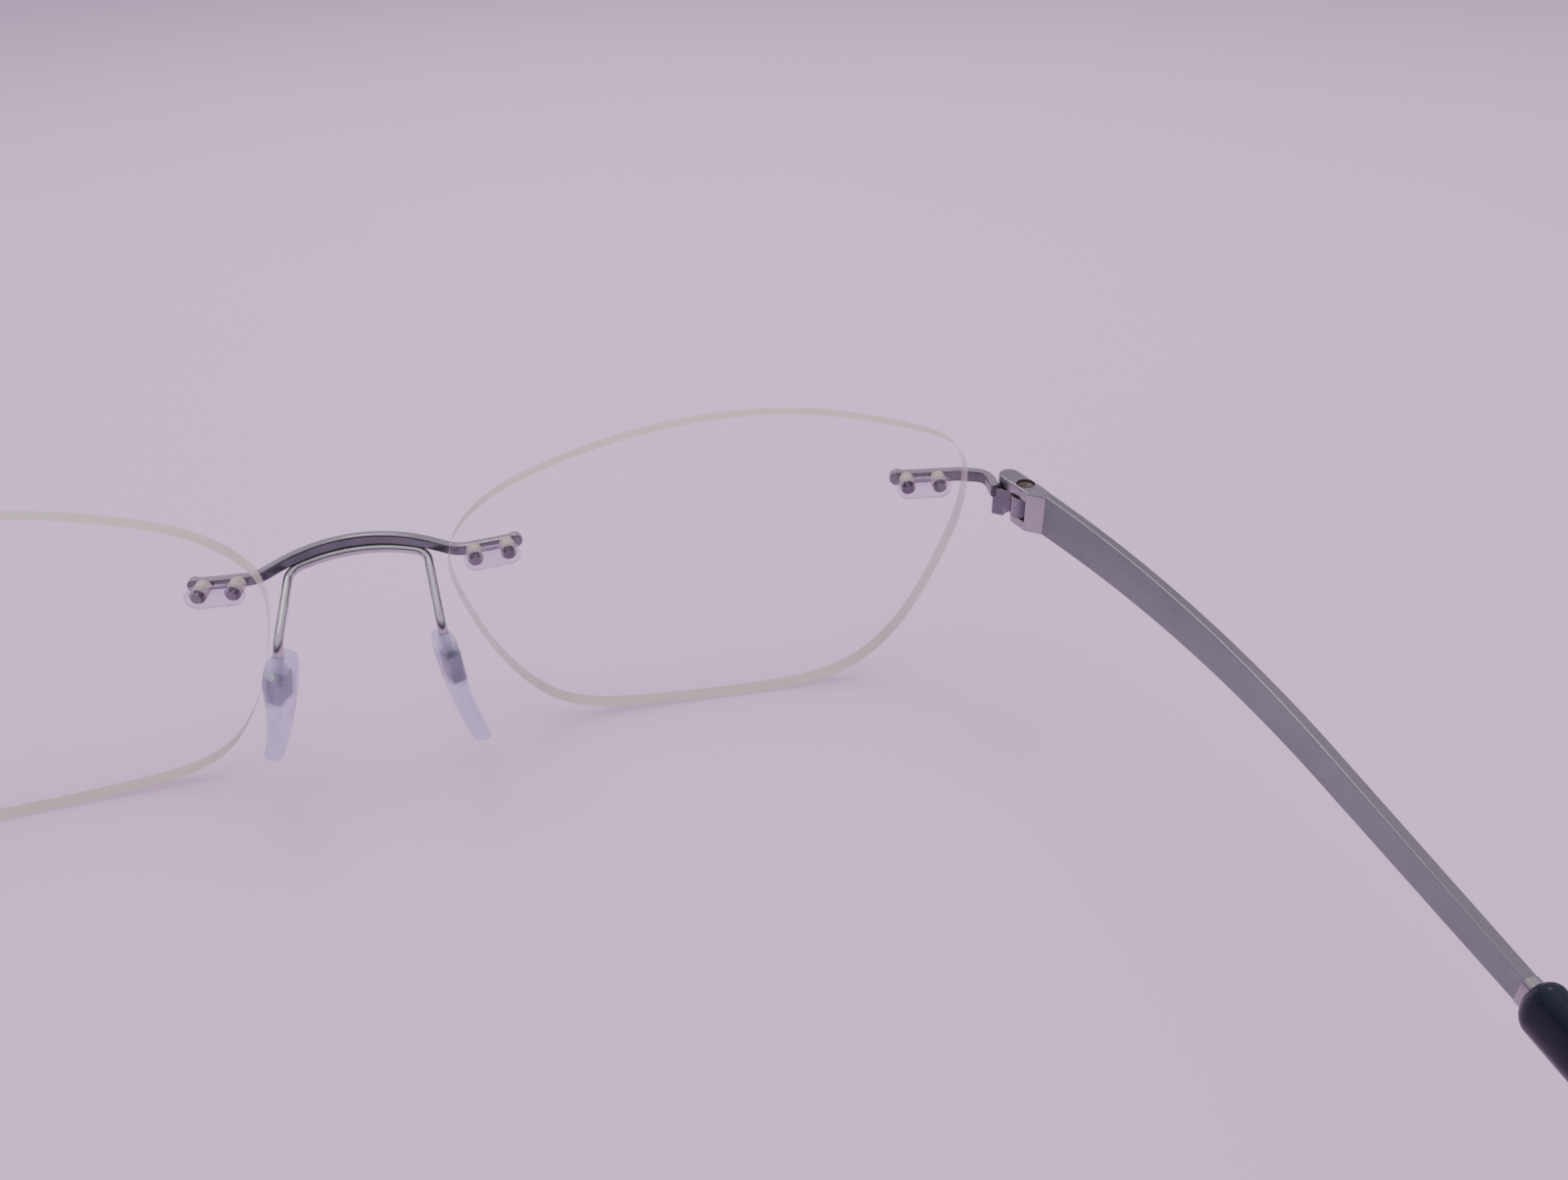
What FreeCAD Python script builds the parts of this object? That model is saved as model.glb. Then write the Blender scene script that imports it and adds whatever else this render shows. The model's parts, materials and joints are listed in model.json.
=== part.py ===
import FreeCAD, Part
import math
import os

from FreeCAD import Placement, Rotation, Vector

# Rimless eyeglasses, opened and standing on their lens bottoms and ear tips.
# +X is the wearer's right, +Y the way the wearer looks, +Z up. The origin is on the floor,
# midway between the two sides and midway between the bridge and the ear tips.
# Every right-hand piece is built first; its left-hand twin is its mirror image in the YZ plane.

doc = FreeCAD.newDocument("rimless_eyeglasses")
sheet = doc.addObject("Spreadsheet::Sheet", "sizes")

DRIVING_SIZES = [
    # the two lenses
    ("lens_width", 51.6, "boxed width of one lens"),
    ("lens_height", 31.8, "boxed height of one lens"),
    ("lens_gap", 17.8, "shortest distance between the lenses"),
    ("lens_curve", 148.0, "radius of the lens's front face"),
    ("lens_thickness", 1.95, "thickness of the glass"),
    ("lens_tilt", 5.05, "degrees the lens bottoms lean to the wearer"),
    ("lens_wrap", 2.7, "degrees each lens turns back at its outer side"),
    # the drilled mounts
    ("hole_pitch", 3.2, "distance between the two holes of a mount"),
    ("hole_diameter", 1.5, "holes drilled through the glass"),
    ("nasal_inset", 3.75, "nasal hole pair from the lens's nasal edge"),
    ("nasal_rise", 5.0, "nasal hole pair above the lens's middle"),
    ("outer_inset", 4.0, "outer hole pair from the lens's outer edge"),
    ("outer_rise", 6.75, "outer hole pair above the lens's middle"),
    ("pin_diameter", 0.9, "pins through the glass"),
    ("pin_proud", 0.5, "pins past the back of the glass"),
    ("sleeve_gap", 0.03, "bushing sleeve to the hole's wall"),
    ("plate_thickness", 0.4, "plate of a lens bushing"),
    ("plate_rim", 0.4, "plate outside the bushing's sleeves"),
    # the front metal
    ("bar_depth", 0.95, "bridge and end piece bars, front to back"),
    ("bar_height", 1.15, "bridge bar, top to bottom"),
    ("bar_rounding", 0.22, "edge rounding of the bars"),
    ("bar_standoff", 0.05, "bars in front of the glass"),
    ("end_bar_height", 1.3, "end piece bar, top to bottom"),
    ("bar_overhang", 0.9, "bars past the outermost hole of a mount"),
    ("bulb_margin", 0.3, "rounded end of a bar past its height"),
    ("bridge_rise", 1.9, "crown of the bridge above its arms"),
    ("bridge_reach", 1.5, "crown of the bridge in front of the lenses"),
    ("bridge_roundness", 0.95, "share of the widest arc that fits the bridge's arch"),
    ("wire_diameter", 0.9, "nose pad wire"),
    ("wire_setback", 0.4, "nose pad wire behind the bridge's middle"),
    ("braze_depth", 0.06, "nose pad wire sunk into the bridge"),
    ("wire_span", 13.0, "between the shoulders of the nose pad wire"),
    # the nose pads
    ("pad_side_right", 7.6, "right pad's pivot from the middle of the face"),
    ("pad_side_left", 8.2, "left pad's pivot from the middle of the face"),
    ("pad_setback", 8.0, "pads' pivots behind the lens fronts"),
    ("pad_drop_right", 2.65, "right pad's pivot below the lens's middle"),
    ("pad_drop_left", 2.05, "left pad's pivot below the lens's middle"),
    ("pad_splay", 25.0, "degrees the pads open towards the wearer"),
    ("pad_lean_right", 2.0, "degrees the right pad leans to the nose"),
    ("pad_lean_left", 15.0, "degrees the left pad leans to the nose"),
    ("pad_thickness", 1.9, "nose pad"),
    ("pad_width", 5.2, "nose pad across its round end"),
    ("pad_length", 14.4, "nose pad, end to end"),
    ("pad_top", 3.9, "nose pad above its pivot"),
    ("pad_tail_width", 2.6, "nose pad across its narrow end"),
    ("pad_curve", 42.0, "radius the nose pad bends to along its length"),
    ("insert_width", 2.2, "metal insert of a pad, front to back"),
    ("insert_depth", 1.35, "metal insert of a pad, side to side"),
    ("insert_height", 3.0, "metal insert of a pad, top to bottom"),
    ("pivot_gap", 0.05, "running clearance round a pivot"),
    # the hinges
    ("hinge_offset", 5.3, "hinge axis outside the lens"),
    ("hinge_setback", 6.7, "hinge axes behind the lens fronts"),
    ("hinge_rise", 5.05, "hinge middle above the lens's middle"),
    ("temple_flare", 15.6, "degrees the temples open at the hinge"),
    ("fork_height", 4.4, "hinge block, top to bottom"),
    ("slot_height", 2.35, "slot between the fork's two cheeks"),
    ("fork_width", 2.2, "hinge block, side to side"),
    ("fork_length", 3.2, "hinge block behind the pin"),
    ("fork_shank", 1.7, "full width of the hinge block behind the pin"),
    ("cap_reach", 3.65, "top cheek in front of the pin"),
    ("cheek_reach", 1.4, "bottom cheek in front of the pin"),
    ("eye_diameter", 2.7, "eye on the end piece"),
    ("eye_room", 0.2, "slot behind the eye"),
    ("washer_thickness", 0.1, "friction washers of the hinge"),
    ("slide_gap", 0.05, "sliding clearance of the hinge"),
    ("shoulder_gap", 0.7, "end piece shoulder outside the eye"),
    ("shoulder_reach", 3.3, "end piece shoulder from the pin"),
    ("hinge_pin_diameter", 1.0, "hinge pin shank"),
    ("pin_head_diameter", 1.75, "hinge pin head"),
    ("pin_head_depth", 0.5, "hinge pin head, top to bottom"),
    ("pin_head_sink", 0.22, "hinge pin head below the top cheek"),
    ("metal_rounding", 0.2, "edge rounding of the hinges and blades"),
    # the temples
    ("temple_bow", 6.65, "straight temple outside its hinge axis"),
    ("blade_thickness", 1.0, "temple blade, side to side"),
    ("blade_offset", 0.45, "blade outside the middle of the hinge block"),
    ("blade_end_height", 2.1, "temple blade where the tip begins"),
    ("blade_length", 61.9, "hinge axis to the end of the blade"),
    ("blade_fall", 0.3, "end of the blade below the hinge's middle"),
    ("core_diameter", 1.1, "wire that runs on inside the tip"),
    ("core_short", 3.0, "wire stops before the tip's end"),
    ("collar_length", 0.6, "metal ring in front of the tip"),
    ("collar_wall", 0.15, "metal ring outside the blade's outline"),
    ("tip_height", 4.2, "ear tip, top to bottom"),
    ("tip_thickness", 2.5, "ear tip, side to side"),
    ("tip_nose", 1.2, "domed front of the ear tip"),
    ("tip_straight", 29.0, "ear tip in front of its bend"),
    ("tip_bend", 40.0, "degrees the ear tip bends down"),
    ("tip_curve", 25.0, "radius of the ear tip's bend"),
    ("tip_inward", 5.0, "degrees the bent end leans inward"),
]

# The lens outline as shares of half its width and half its height, from the outer side
# over the top and back along the bottom. The nasal side is at -1.
RIM_POINTS = [
    (1.00, 0.50), (0.97, 0.66), (0.79, 0.82), (0.36, 0.98),
    (-0.13, 0.98), (-0.59, 0.83), (-0.91, 0.58), (-0.99, 0.41),
    (-0.98, 0.01), (-0.83, -0.56), (-0.70, -0.79), (-0.32, -0.96),
    (0.15, -0.99), (0.54, -0.86), (0.72, -0.61), (0.92, -0.04),
]
# Angles round the right hinge axis, from +X towards +Y, between which the end piece stands.
SHOULDER_FROM = 85.0
SHOULDER_SWEEP = 55.0
# From the middle of the right hinge: the corner where the end piece turns back, and its end.
END_PIECE_CORNER = (-2.5, 3.9, 1.4)
END_PIECE_END = (-2.4, 1.9, 0.75)
# From the crown of the nose pad wire back and down to the level of its two shoulders.
WIRE_SHOULDER = (-0.5, -0.95)

X_AXIS = Vector(1, 0, 0)
Y_AXIS = Vector(0, 1, 0)
Z_AXIS = Vector(0, 0, 1)
ORIGIN = Vector(0, 0, 0)

for row, (alias, value, note) in enumerate(DRIVING_SIZES, start=1):
    sheet.set(f"A{row}", note)
    sheet.set(f"B{row}", str(value))
    sheet.setAlias(f"B{row}", alias)
doc.recompute()


def size(alias):
    """A driving size in millimetres or degrees."""
    return float(sheet.get(alias))


# ---------------------------------------------------------------- document helpers


def bind(obj, **expressions):
    """Tie properties of a document object to the sheet."""
    for prop, expression in expressions.items():
        obj.setExpression(prop, expression)
    return obj


def cylinder(name, radius, height, place=None, angle=None):
    obj = doc.addObject("Part::Cylinder", name)
    bind(obj, Radius=radius, Height=height)
    if angle is not None:
        obj.Angle = angle
    obj.Placement = place or Placement()
    return obj


def box(name, length, width, height, place):
    obj = doc.addObject("Part::Box", name)
    bind(obj, Length=length, Width=width, Height=height)
    obj.Placement = place
    return obj


def solid(name, shape):
    """A piece whose shape no primitive gives, held in the document as it is."""
    obj = doc.addObject("Part::Feature", name)
    obj.Shape = shape
    return obj


def cut(name, base, tool):
    obj = doc.addObject("Part::Cut", name)
    obj.Base = base
    obj.Tool = tool
    return obj


def fuse(name, *shapes):
    obj = doc.addObject("Part::MultiFuse", name)
    obj.Shapes = list(shapes)
    return obj


def group(name, *shapes):
    """Separate solids that share one node."""
    obj = doc.addObject("Part::Compound", name)
    obj.Links = list(shapes)
    return obj


def mirrored(name, source):
    obj = doc.addObject("Part::Mirroring", name)
    obj.Source = source
    obj.Normal = X_AXIS
    obj.Base = ORIGIN
    return obj


nodes = []


def node(name, obj):
    """Mark a document object as one piece of the eyeglasses."""
    obj.Label = name
    nodes.append(obj)
    return obj


def both_sides(piece, obj):
    """The right-hand piece and its mirror image."""
    node(f"{piece}_right", obj)
    node(f"{piece}_left", mirrored(f"{piece}_left", obj))
    return obj


# ---------------------------------------------------------------- geometry helpers


def flip(point):
    """The same point on the other side of the face."""
    return Vector(-point.x, point.y, point.z)


def rounded_path(points, radii):
    """Straight runs through the points, joined by a tangent arc at each inner point."""
    edges = []
    start = points[0]
    for before, corner, after, radius in zip(points, points[1:], points[2:], radii):
        back = (before - corner).normalize()
        ahead = (after - corner).normalize()
        half_turn = (math.pi - back.getAngle(ahead)) / 2
        reach = radius * math.tan(half_turn)
        inward = (back + ahead).normalize()
        middle = corner + inward * (radius / math.cos(half_turn) - radius)
        arc_start = corner + back * reach
        arc_end = corner + ahead * reach
        edges.append(Part.LineSegment(start, arc_start).toShape())
        edges.append(Part.Arc(arc_start, middle, arc_end).toShape())
        start = arc_end
    edges.append(Part.LineSegment(start, points[-1]).toShape())
    return Part.Wire(edges)


def rounded_rectangle(width, height, radius):
    """A closed outline in the XY plane, centred on the origin."""
    x, y = width / 2, height / 2
    corners = [(x, y), (-x, y), (-x, -y), (x, -y)]
    flat = Part.makePolygon([Vector(cx, cy, 0) for cx, cy in corners + corners[:1]])
    block = Part.Face(flat).extrude(Z_AXIS)
    upright = [e for e in block.Edges if abs(e.tangentAt(e.FirstParameter).z) > 0.9]
    rounded = block.makeFillet(radius, upright)
    base = min(rounded.Faces, key=lambda face: face.CenterOfMass.z)
    return base.OuterWire


def ellipse(half_width, half_height):
    """A closed outline in the XY plane; the larger half size may lie either way."""
    if half_width >= half_height:
        curve = Part.Ellipse(ORIGIN, half_width, half_height)
    else:
        top = Vector(0, half_height, 0)
        side = Vector(half_width, 0, 0)
        curve = Part.Ellipse(top, side, ORIGIN)
    return Part.Wire(curve.toShape())


def sweep(path, outline, upright=Z_AXIS, keep_upright=True):
    """Carry an outline along a path, its Y side towards upright, all the way or at the start."""
    first = path.Edges[0]
    ahead = first.tangentAt(first.FirstParameter)
    profile = outline.copy()
    turn = Rotation(upright.cross(ahead), upright, ahead, "ZXY")
    profile.Placement = Placement(first.valueAt(first.FirstParameter), turn)
    shell = Part.BRepOffsetAPI.MakePipeShell(path)
    if keep_upright:
        shell.setBiNormalMode(upright)
    shell.add(profile)
    shell.build()
    shell.makeSolid()
    return shell.shape()


def rounded(shape, radius, wanted):
    """Round the edges of a shape for which wanted(edge) holds."""
    return shape.makeFillet(radius, [edge for edge in shape.Edges if wanted(edge)])


def ball(half_x, half_y, half_z, place):
    """An ellipsoid with the given half sizes."""
    sphere = Part.makeSphere(1.0)
    stretch = FreeCAD.Matrix()
    stretch.scale(half_x, half_y, half_z)
    egg = sphere.transformGeometry(stretch)
    egg.Placement = place
    return egg


# ---------------------------------------------------------------- the lens and its frame


def lens_solid():
    """The glass in its own frame: X to the outer side, Y out of the front, Z up."""
    half_width = size("lens_width") / 2
    half_height = size("lens_height") / 2
    rim = Part.BSplineCurve()
    rim.interpolate(
        Points=[Vector(x * half_width, 0, z * half_height) for x, z in RIM_POINTS],
        PeriodicFlag=True,
    )
    depth = 8 * size("lens_thickness")
    blank = Part.Face(Part.Wire(rim.toShape())).extrude(Vector(0, -depth, 0))
    blank.translate(Vector(0, size("lens_thickness"), 0))
    centre = Vector(0, -size("lens_curve"), 0)
    front = Part.makeSphere(size("lens_curve"), centre)
    back = Part.makeSphere(size("lens_curve") - size("lens_thickness"), centre)
    return blank.common(front).cut(back)


glass = lens_solid()
lens_turn = Rotation(X_AXIS, -size("lens_tilt")) * Rotation(Z_AXIS, -size("lens_wrap"))
turned_glass = glass.copy()
turned_glass.Placement = Placement(ORIGIN, lens_turn)
lens_rest = -turned_glass.BoundBox.ZMin

# Depths are kept from the front of the lenses, then moved so that the origin is midway
# between the foremost point of the bridge and the rearmost point of the ear tips.
tip_lean = math.radians(size("tip_inward"))
tip_turn = math.radians(size("tip_bend"))
tip_half_height = size("tip_height") / 2
tip_rest = math.hypot(
    tip_half_height * math.cos(tip_lean), size("tip_thickness") / 2 * math.sin(tip_lean)
)
hinge_height = lens_rest + size("hinge_rise")
tip_level = hinge_height - size("blade_fall")
hinge_side = size("lens_gap") / 2 + size("lens_width") + size("hinge_offset")
temple_side = hinge_side + size("temple_bow")
bend_reach = size("tip_curve") * math.tan(tip_turn / 2)
tip_fall = (tip_level - tip_rest) / (math.sin(tip_turn) * math.cos(tip_lean))
blade_end = -size("hinge_setback") - size("blade_length")
bend_corner = blade_end - size("tip_straight") - bend_reach
rearmost = bend_corner - tip_fall * math.cos(tip_turn) - tip_half_height
foremost = size("bridge_reach") + size("bar_depth") / 2
middle_depth = (foremost + rearmost) / 2


def at(x, depth, z):
    """A point by its side, its depth from the lens fronts and its height from the floor."""
    return Vector(x, depth - middle_depth, z)


lens_centre = at(size("lens_gap") / 2 + size("lens_width") / 2, 0, lens_rest)
lens_place = Placement(lens_centre, lens_turn)


def mount_place(inset_from_side, rise):
    """On the lens's front: X outward along the hole pair, Z straight out of the glass."""
    curve = size("lens_curve")
    normal = Vector(inset_from_side, 0, rise)
    normal.y = math.sqrt(curve**2 - normal.x**2 - normal.z**2)
    point = normal - Vector(0, curve, 0)
    return lens_place * Placement(point, Rotation(X_AXIS, ORIGIN, normal, "ZXY"))


nasal_mount = mount_place(size("nasal_inset") - size("lens_width") / 2, size("nasal_rise"))
outer_mount = mount_place(size("lens_width") / 2 - size("outer_inset"), size("outer_rise"))
MOUNTS = {"nasal": nasal_mount, "outer": outer_mount}
SIDES_OF_PITCH = (-0.5, 0.5)


def on_mount(mount, along, out):
    """A point of a mount: along the hole pair, and out from the glass's front."""
    return mount.multVec(Vector(along, 0, out))


def hole_places(mount, start):
    """Where the two holes of a mount are, at a level measured out of the glass."""
    pitch = size("hole_pitch")
    for share in SIDES_OF_PITCH:
        yield mount * Placement(Vector(share * pitch, 0, start), Rotation())


def make_lens():
    blank = solid("lens_blank", glass)
    blank.Placement = lens_place
    drills = []
    for side, mount in MOUNTS.items():
        for place in hole_places(mount, -2 * size("lens_thickness")):
            drills.append(
                cylinder(f"{side}_drill", "sizes.hole_diameter / 2", "4 * sizes.lens_thickness", place)
            )
    both_sides("lens", cut("lens_right", blank, fuse("lens_drills", *drills)))


def make_bushing(side, mount):
    """A clear plate behind the glass with a sleeve in each hole."""
    back = -size("lens_thickness") - size("sleeve_gap") - size("plate_thickness")
    sleeve = "(sizes.hole_diameter / 2 - sizes.sleeve_gap)"
    ends = []
    sleeves = []
    bores = []
    for place in hole_places(mount, back):
        ends.append(
            cylinder(f"{side}_plate_end", f"{sleeve} + sizes.plate_rim", "sizes.plate_thickness", place)
        )
        sleeves.append(
            cylinder(
                f"{side}_sleeve",
                sleeve,
                "sizes.plate_thickness + sizes.lens_thickness",
                place,
            )
        )
        bores.append(
            cylinder(f"{side}_bore", "sizes.pin_diameter / 2", "3 * sizes.lens_thickness", place)
        )
    half_width = size("hole_diameter") / 2 - size("sleeve_gap") + size("plate_rim")
    corner = Vector(-size("hole_pitch") / 2, -half_width, back)
    bar = box(
        f"{side}_plate_middle",
        "sizes.hole_pitch",
        f"2 * ({sleeve} + sizes.plate_rim)",
        "sizes.plate_thickness",
        mount * Placement(corner, Rotation()),
    )
    body = fuse(f"{side}_bushing_body", bar, *ends, *sleeves)
    bushing = cut(f"{side}_bushing_right", body, fuse(f"{side}_bushing_bores", *bores))
    both_sides(f"{side}_bushing", bushing)


def make_pins(piece, mount):
    """The two pins of a mount, from inside the bar to just past the back of the glass."""
    start = -size("lens_thickness") - size("pin_proud")
    pins = [
        cylinder(
            f"{piece}_pin",
            "sizes.pin_diameter / 2",
            "sizes.lens_thickness + sizes.pin_proud + sizes.bar_standoff + sizes.bar_depth / 2",
            place,
        )
        for place in hole_places(mount, start)
    ]
    both_sides(f"{piece}_pins", group(f"{piece}_pins_right", *pins))


# ---------------------------------------------------------------- bridge and end pieces

bar_level = size("bar_standoff") + size("bar_depth") / 2
arm_reach = size("hole_pitch") / 2 + size("bar_overhang")


def bulb(mount, along, height_alias):
    """The rounded end of a bar, standing out of the glass."""
    foot = on_mount(mount, along, size("bar_standoff"))
    out = mount.Rotation.multVec(Z_AXIS)
    radius = (size(height_alias) + size("bulb_margin")) / 2
    disc = Part.makeCylinder(radius, size("bar_depth"), foot, out)
    return rounded(disc, size("bar_rounding"), lambda edge: isinstance(edge.Curve, Part.Circle))


def arch(foot, crown):
    """Where an arch's straight flanks meet above its round crown, and the crown's radius."""
    run = abs(foot.x)
    climb = Vector(0, crown.y - foot.y, crown.z - foot.z)
    rise = climb.Length
    curve = size("bridge_roundness") * (run**2 + rise**2) / (2 * rise)
    to_centre = math.hypot(run, curve - rise)
    slope = math.asin(curve / to_centre) - math.atan2(curve - rise, run)
    return Vector(0, foot.y, foot.z) + climb * (run * math.tan(slope) / rise), curve


def bar_outline(height_alias):
    return rounded_rectangle(size("bar_depth"), size(height_alias), size("bar_rounding"))


def make_bridge():
    end = on_mount(nasal_mount, arm_reach, bar_level)
    foot = on_mount(nasal_mount, -arm_reach - size("bar_height") / 2, bar_level)
    crown = at(0, size("bridge_reach"), foot.z + size("bridge_rise"))
    apex, curve = arch(foot, crown)
    foot_curve = 4 * size("bar_height")
    path = rounded_path(
        [flip(end), flip(foot), apex, foot, end],
        [foot_curve, curve, foot_curve],
    )
    bar = sweep(path, bar_outline("bar_height"))
    right_bulb = bulb(nasal_mount, arm_reach, "bar_height")
    left_bulb = right_bulb.mirror(ORIGIN, X_AXIS)
    node("bridge_bar", solid("bridge_bar", bar.fuse([right_bulb, left_bulb])))
    return crown


def pad_place(side):
    """A pad's frame as on the right: X to the front in its plane, Y to the nose, Z along it."""
    splay = math.radians(size("pad_splay"))
    lean = math.radians(size(f"pad_lean_{side}"))
    level_normal = Vector(-math.cos(splay), -math.sin(splay), 0)
    long_way = Z_AXIS * math.cos(lean) + level_normal * math.sin(lean)
    front_way = Vector(-math.sin(splay), math.cos(splay), 0)
    height = lens_rest - size(f"pad_drop_{side}")
    pivot = at(size(f"pad_side_{side}"), -size("pad_setback"), height)
    return Placement(pivot, Rotation(front_way, ORIGIN, long_way, "ZXY"))


post_radius = size("wire_diameter") / 2
# the insert stands a little below the pivot, its blind bore stops short of its bottom
insert_low = -0.55 * size("insert_height")
insert_floor = insert_low + 2 * size("pivot_gap")


def make_pad_wire(crown):
    """One round wire: brazed under the bridge, down both sides, a straight post in each pad."""
    drop = size("bar_height") / 2 + post_radius - size("braze_depth")
    wire_crown = crown + Vector(0, -size("wire_setback"), -drop)
    back, down = WIRE_SHOULDER
    shoulder = Vector(size("wire_span") / 2, wire_crown.y + back, wire_crown.z + down)
    apex, curve = arch(shoulder, wire_crown)
    foot_level = Vector(0, 0, insert_floor + size("pivot_gap"))
    knee_level = Vector(0, 0, size("pad_top") + 2 * post_radius)
    right, left = pad_place("right"), pad_place("left")
    points = [
        right.multVec(foot_level),
        right.multVec(knee_level),
        shoulder,
        apex,
        flip(shoulder),
        flip(left.multVec(knee_level)),
        flip(left.multVec(foot_level)),
    ]
    bend = 3.2 * post_radius
    path = rounded_path(points, [bend, bend, curve, bend, bend])
    circle = Part.Wire(Part.Circle(ORIGIN, Z_AXIS, post_radius).toShape())
    node("pad_wire", solid("pad_wire", sweep(path, circle, keep_upright=False)))


hinge_centre = at(hinge_side, -size("hinge_setback"), hinge_height)
hinge_place = Placement(hinge_centre, Rotation())
half_slot = size("slot_height") / 2
half_fork = size("fork_height") / 2
half_eye = half_slot - size("slide_gap") - size("washer_thickness")


def hinge_level(height, turn=0.0):
    """On the hinge axis, that far above its middle, turned round it by some degrees."""
    return hinge_place * Placement(Vector(0, 0, height), Rotation(Z_AXIS, turn))


def make_end_piece():
    """A bar over the lens's front that turns back into the shoulder and eye of the hinge."""
    start = on_mount(outer_mount, -arm_reach, bar_level)
    leave = on_mount(outer_mount, arm_reach + size("end_bar_height"), bar_level)
    corner = hinge_centre + Vector(*END_PIECE_CORNER)
    end = hinge_centre + Vector(*END_PIECE_END)
    path = rounded_path([start, leave, corner, end], [2.5, 1.3])
    swept = sweep(path, bar_outline("end_bar_height"))
    bar = solid("end_piece_bar", swept.fuse(bulb(outer_mount, -arm_reach, "end_bar_height")))
    eye_height = "(sizes.slot_height - 2 * sizes.slide_gap - 2 * sizes.washer_thickness)"
    eye = cylinder("hinge_eye", "sizes.eye_diameter / 2", eye_height, hinge_level(-half_eye))
    neck = cylinder(
        "hinge_neck",
        "sizes.shoulder_reach",
        eye_height,
        hinge_level(-half_eye, SHOULDER_FROM),
        SHOULDER_SWEEP,
    )
    bore = cylinder(
        "hinge_eye_bore",
        "sizes.hinge_pin_diameter / 2 + sizes.pivot_gap",
        "2 * sizes.slot_height",
        hinge_level(-size("slot_height")),
    )
    body = fuse("end_piece_body", bar, eye, neck, solid("hinge_shoulder", shoulder()))
    both_sides("end_piece", cut("end_piece_right", body, bore))


def shoulder():
    """The upright lobe in front of the bottom cheek."""
    low = size("metal_rounding") - half_fork
    height = half_eye - low
    sector = Part.makeCylinder(
        size("shoulder_reach"), height, Vector(0, 0, low), Z_AXIS, SHOULDER_SWEEP
    )
    inner = size("eye_diameter") / 2 + size("shoulder_gap")
    hollow = Part.makeCylinder(inner, size("fork_height"), Vector(0, 0, -half_fork))
    lobe = sector.cut(hollow)
    lobe.Placement = hinge_level(0, SHOULDER_FROM)
    return lobe


def make_washers():
    rings = []
    for level in (half_eye, -half_eye - size("washer_thickness")):
        disc = cylinder(
            "washer_disc", "sizes.eye_diameter / 2", "sizes.washer_thickness", hinge_level(level)
        )
        hole = cylinder(
            "washer_hole",
            "sizes.hinge_pin_diameter / 2 + sizes.pivot_gap",
            "3 * sizes.washer_thickness",
            hinge_level(level - size("washer_thickness")),
        )
        rings.append(cut("washer", disc, hole))
    both_sides("hinge_washers", group("hinge_washers_right", *rings))


# ---------------------------------------------------------------- nose pads


def teardrop(length, wide, narrow, top):
    """A closed outline in the XZ plane: two round ends joined by straight flanks."""
    big, small = wide / 2, narrow / 2
    upper = Vector(0, 0, top - big)
    lower = Vector(0, 0, top - length + small)
    slope = math.asin((big - small) / (upper.z - lower.z))
    side = Vector(math.cos(slope), 0, math.sin(-slope))
    right_top = upper + side * big
    right_low = lower + side * small
    top_arc = Part.Arc(right_top, upper + Z_AXIS * big, flip(right_top))
    low_arc = Part.Arc(flip(right_low), lower - Z_AXIS * small, right_low)
    flanks = [
        Part.LineSegment(flip(right_top), flip(right_low)),
        Part.LineSegment(right_low, right_top),
    ]
    ordered = [top_arc, flanks[0], low_arc, flanks[1]]
    return Part.Wire([curve.toShape() for curve in ordered])


def bent_slab(inner, outer):
    """Between two upright arcs round one centre: the bend that every nose pad has."""
    curve = size("pad_curve")
    width = 2 * size("pad_width")
    middle = Vector(-width / 2, inner - curve, 0)
    big = Part.makeCylinder(curve + outer - inner, width, middle, X_AXIS)
    return big.cut(Part.makeCylinder(curve, width, middle, X_AXIS))


def make_pad(side):
    """A soft pad and the metal insert that turns on the wire's post."""
    place = pad_place(side)
    thickness = size("pad_thickness")
    height = size("insert_height")
    outer_face = -size("insert_depth") / 2
    insert_block = Part.makeBox(
        size("insert_width"),
        size("insert_depth"),
        height,
        Vector(-size("insert_width") / 2, outer_face, insert_low),
    )
    post_bore = Part.makeCylinder(
        post_radius + size("pivot_gap"), height, Vector(0, 0, insert_floor)
    )
    insert = solid(f"pad_insert_{side}_body", insert_block.cut(post_bore))
    outline = teardrop(
        size("pad_length"), size("pad_width"), size("pad_tail_width"), size("pad_top")
    )
    blank = Part.Face(outline).extrude(Y_AXIS * size("pad_width"))
    blank.translate(-Y_AXIS * size("pad_width") / 2)
    bent = blank.common(bent_slab(outer_face, outer_face + thickness))
    soft = bent.makeFillet(0.42 * thickness, bent.Edges)
    channel = Part.makeCylinder(
        post_radius + 3 * size("pivot_gap"), size("pad_length"), Vector(0, 0, insert_floor)
    )
    pad = solid(f"nose_pad_{side}_body", soft.cut([insert_block, channel]))
    for body in (insert, pad):
        body.Placement = place
    if side == "left":
        insert = mirrored("pad_insert_left", insert)
        pad = mirrored("nose_pad_left", pad)
    node(f"pad_insert_{side}", insert)
    node(f"nose_pad_{side}", pad)


# ---------------------------------------------------------------- temples

temple_turn = Rotation(Z_AXIS, size("temple_flare") - 90)
fork_place = Placement(hinge_centre, temple_turn)
pin_seat = half_fork - size("pin_head_sink") - size("pin_head_depth")


def upright_block(outline, low, high):
    """An upright block over a flat outline."""
    points = [Vector(x, y, low) for x, y in outline]
    face = Part.Face(Part.makePolygon(points + points[:1]))
    return face.extrude(Vector(0, 0, high - low))


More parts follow.
